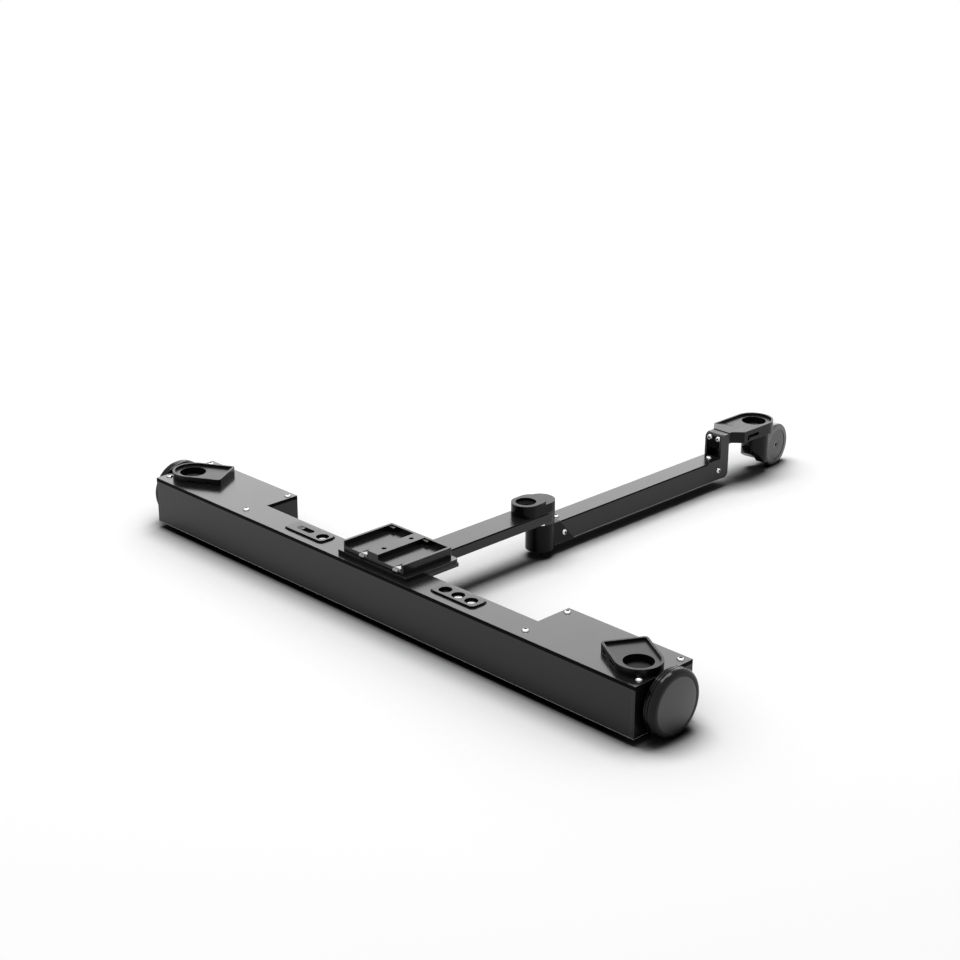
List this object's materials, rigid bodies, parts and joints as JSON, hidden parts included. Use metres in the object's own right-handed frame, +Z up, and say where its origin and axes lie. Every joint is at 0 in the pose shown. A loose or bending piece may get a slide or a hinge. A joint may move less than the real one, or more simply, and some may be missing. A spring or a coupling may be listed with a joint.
{
  "type": "motorized tripod dolly",
  "caption": "Low motorized dolly with a long powered beam, a folding rear arm with a caster, and round pockets that carry a tripod's feet.",
  "frame": {"origin": "on the floor, at the centre of the dolly's footprint box", "axes": "+X along the beam to the right, +Y from the beam's front face to the rear wheel, +Z up"},
  "size_m": [0.8926, 0.8264, 0.0896],
  "materials": {
    "beam_black": "satin anodised",
    "cover_black": "semi-gloss anodised",
    "cup_black": "satin anodised",
    "panel_black": "semi-gloss",
    "bright_steel": "bright",
    "button_metal": "polished",
    "dark_steel": "blackened",
    "bronze": "turned",
    "gold_contact": "plated",
    "pad_rubber": "matte",
    "tyre_rubber": "satin",
    "hub_black": "satin anodised",
    "motor_grey": "satin",
    "board_green": "glossy"
  },
  "bodies": {
    "beam": {"beam_shell": "beam_black", "top_cover": "cover_black", "cover_screws": "bright_steel", "end_plate_left": "beam_black", "end_plate_right": "beam_black", "foot_cup_left": "cup_black", "foot_cup_right": "cup_black", "foot_pad_left": "pad_rubber", "foot_pad_right": "pad_rubber", "control_panel_left": "panel_black", "control_panel_right": "panel_black", "base_plate": "cover_black", "base_plate_screws": "bright_steel", "battery_tray": "panel_black", "battery_terminals": "gold_contact", "tray_screws": "dark_steel", "arm_clamp": "beam_black", "arm_bolts": "dark_steel", "front_arm": "beam_black", "hinge_cap": "cup_black", "hinge_pin": "bright_steel", "thrust_washer": "dark_steel", "fold_stop": "bright_steel", "wheel_bearing_left": "bright_steel", "wheel_bearing_right": "bright_steel", "gear_motor_left": "motor_grey", "gear_motor_right": "motor_grey", "motor_screws": "dark_steel", "control_board": "board_green", "board_standoffs": "gold_contact"},
    "left_wheel": {"drive_hub_left": "hub_black", "drive_tyre_left": "tyre_rubber", "hub_cap_left": "hub_black", "drive_shaft_left": "bright_steel"},
    "right_wheel": {"drive_hub_right": "hub_black", "drive_tyre_right": "tyre_rubber", "hub_cap_right": "hub_black", "drive_shaft_right": "bright_steel"},
    "power_switch": {"power_switch_knob": "button_metal"},
    "left_push_button": {"left_button": "button_metal"},
    "inner_push_button": {"right_button_inner": "button_metal"},
    "outer_push_button": {"right_button_outer": "button_metal"},
    "left_latch": {"battery_latch_left": "button_metal"},
    "right_latch": {"battery_latch_right": "button_metal"},
    "fold_lock": {"lock_button": "cover_black"},
    "rear_section": {"hinge_barrel": "cup_black", "hinge_bush": "bronze", "rear_arm": "beam_black", "rear_arm_screws": "bright_steel", "riser": "beam_black", "riser_screws": "bright_steel", "foot_cup_rear": "cup_black", "foot_pad_rear": "pad_rubber", "swivel_post": "bright_steel"},
    "caster": {"caster_yoke": "cup_black", "swivel_bush": "bronze", "rear_axle": "dark_steel"},
    "rear_wheel": {"rear_wheel_hub": "hub_black", "rear_tyre": "tyre_rubber"}
  },
  "joints": [
    {"name": "left_drive", "type": "hinge", "parent": "beam", "child": "left_wheel", "pos_m": [-0.436, -0.36617, 0.04], "axis": [1, 0, 0], "continuous": true},
    {"name": "right_drive", "type": "hinge", "parent": "beam", "child": "right_wheel", "pos_m": [0.436, -0.36617, 0.04], "axis": [1, 0, 0], "continuous": true},
    {"name": "power_switch_slide", "type": "slide", "parent": "beam", "child": "power_switch", "axis": [1, 0, 0], "range_m": [0, 0.0179]},
    {"name": "left_button_press", "type": "slide", "parent": "beam", "child": "left_push_button", "axis": [0, 0, -1], "range_m": [0, 0.0012], "stiffness_N_per_m": 400, "springref_m": -0.001},
    {"name": "inner_button_press", "type": "slide", "parent": "beam", "child": "inner_push_button", "axis": [0, 0, -1], "range_m": [0, 0.0012], "stiffness_N_per_m": 400, "springref_m": -0.001},
    {"name": "outer_button_press", "type": "slide", "parent": "beam", "child": "outer_push_button", "axis": [0, 0, -1], "range_m": [0, 0.0012], "stiffness_N_per_m": 400, "springref_m": -0.001},
    {"name": "left_latch_press", "type": "slide", "parent": "beam", "child": "left_latch", "axis": [0, 0, -1], "range_m": [0, 0.0018], "stiffness_N_per_m": 600, "springref_m": -0.001},
    {"name": "right_latch_press", "type": "slide", "parent": "beam", "child": "right_latch", "axis": [0, 0, -1], "range_m": [0, 0.0018], "stiffness_N_per_m": 600, "springref_m": -0.001},
    {"name": "fold_lock_press", "type": "slide", "parent": "beam", "child": "fold_lock", "axis": [0, 0, -1], "range_m": [0, 0.0025], "stiffness_N_per_m": 1000, "springref_m": -0.001},
    {"name": "arm_fold", "type": "hinge", "parent": "beam", "child": "rear_section", "pos_m": [0, -0.11217, 0.02875], "axis": [0, 0, 1], "range_deg": [-90, 90]},
    {"name": "caster_swivel", "type": "hinge", "parent": "rear_section", "child": "caster", "pos_m": [0, 0.34283, 0.04875], "axis": [0, 0, 1], "continuous": true},
    {"name": "rear_wheel_roll", "type": "hinge", "parent": "caster", "child": "rear_wheel", "pos_m": [0.00431, 0.38159, 0.0315], "axis": [0.9932, 0.1167, 0], "continuous": true}
  ]
}
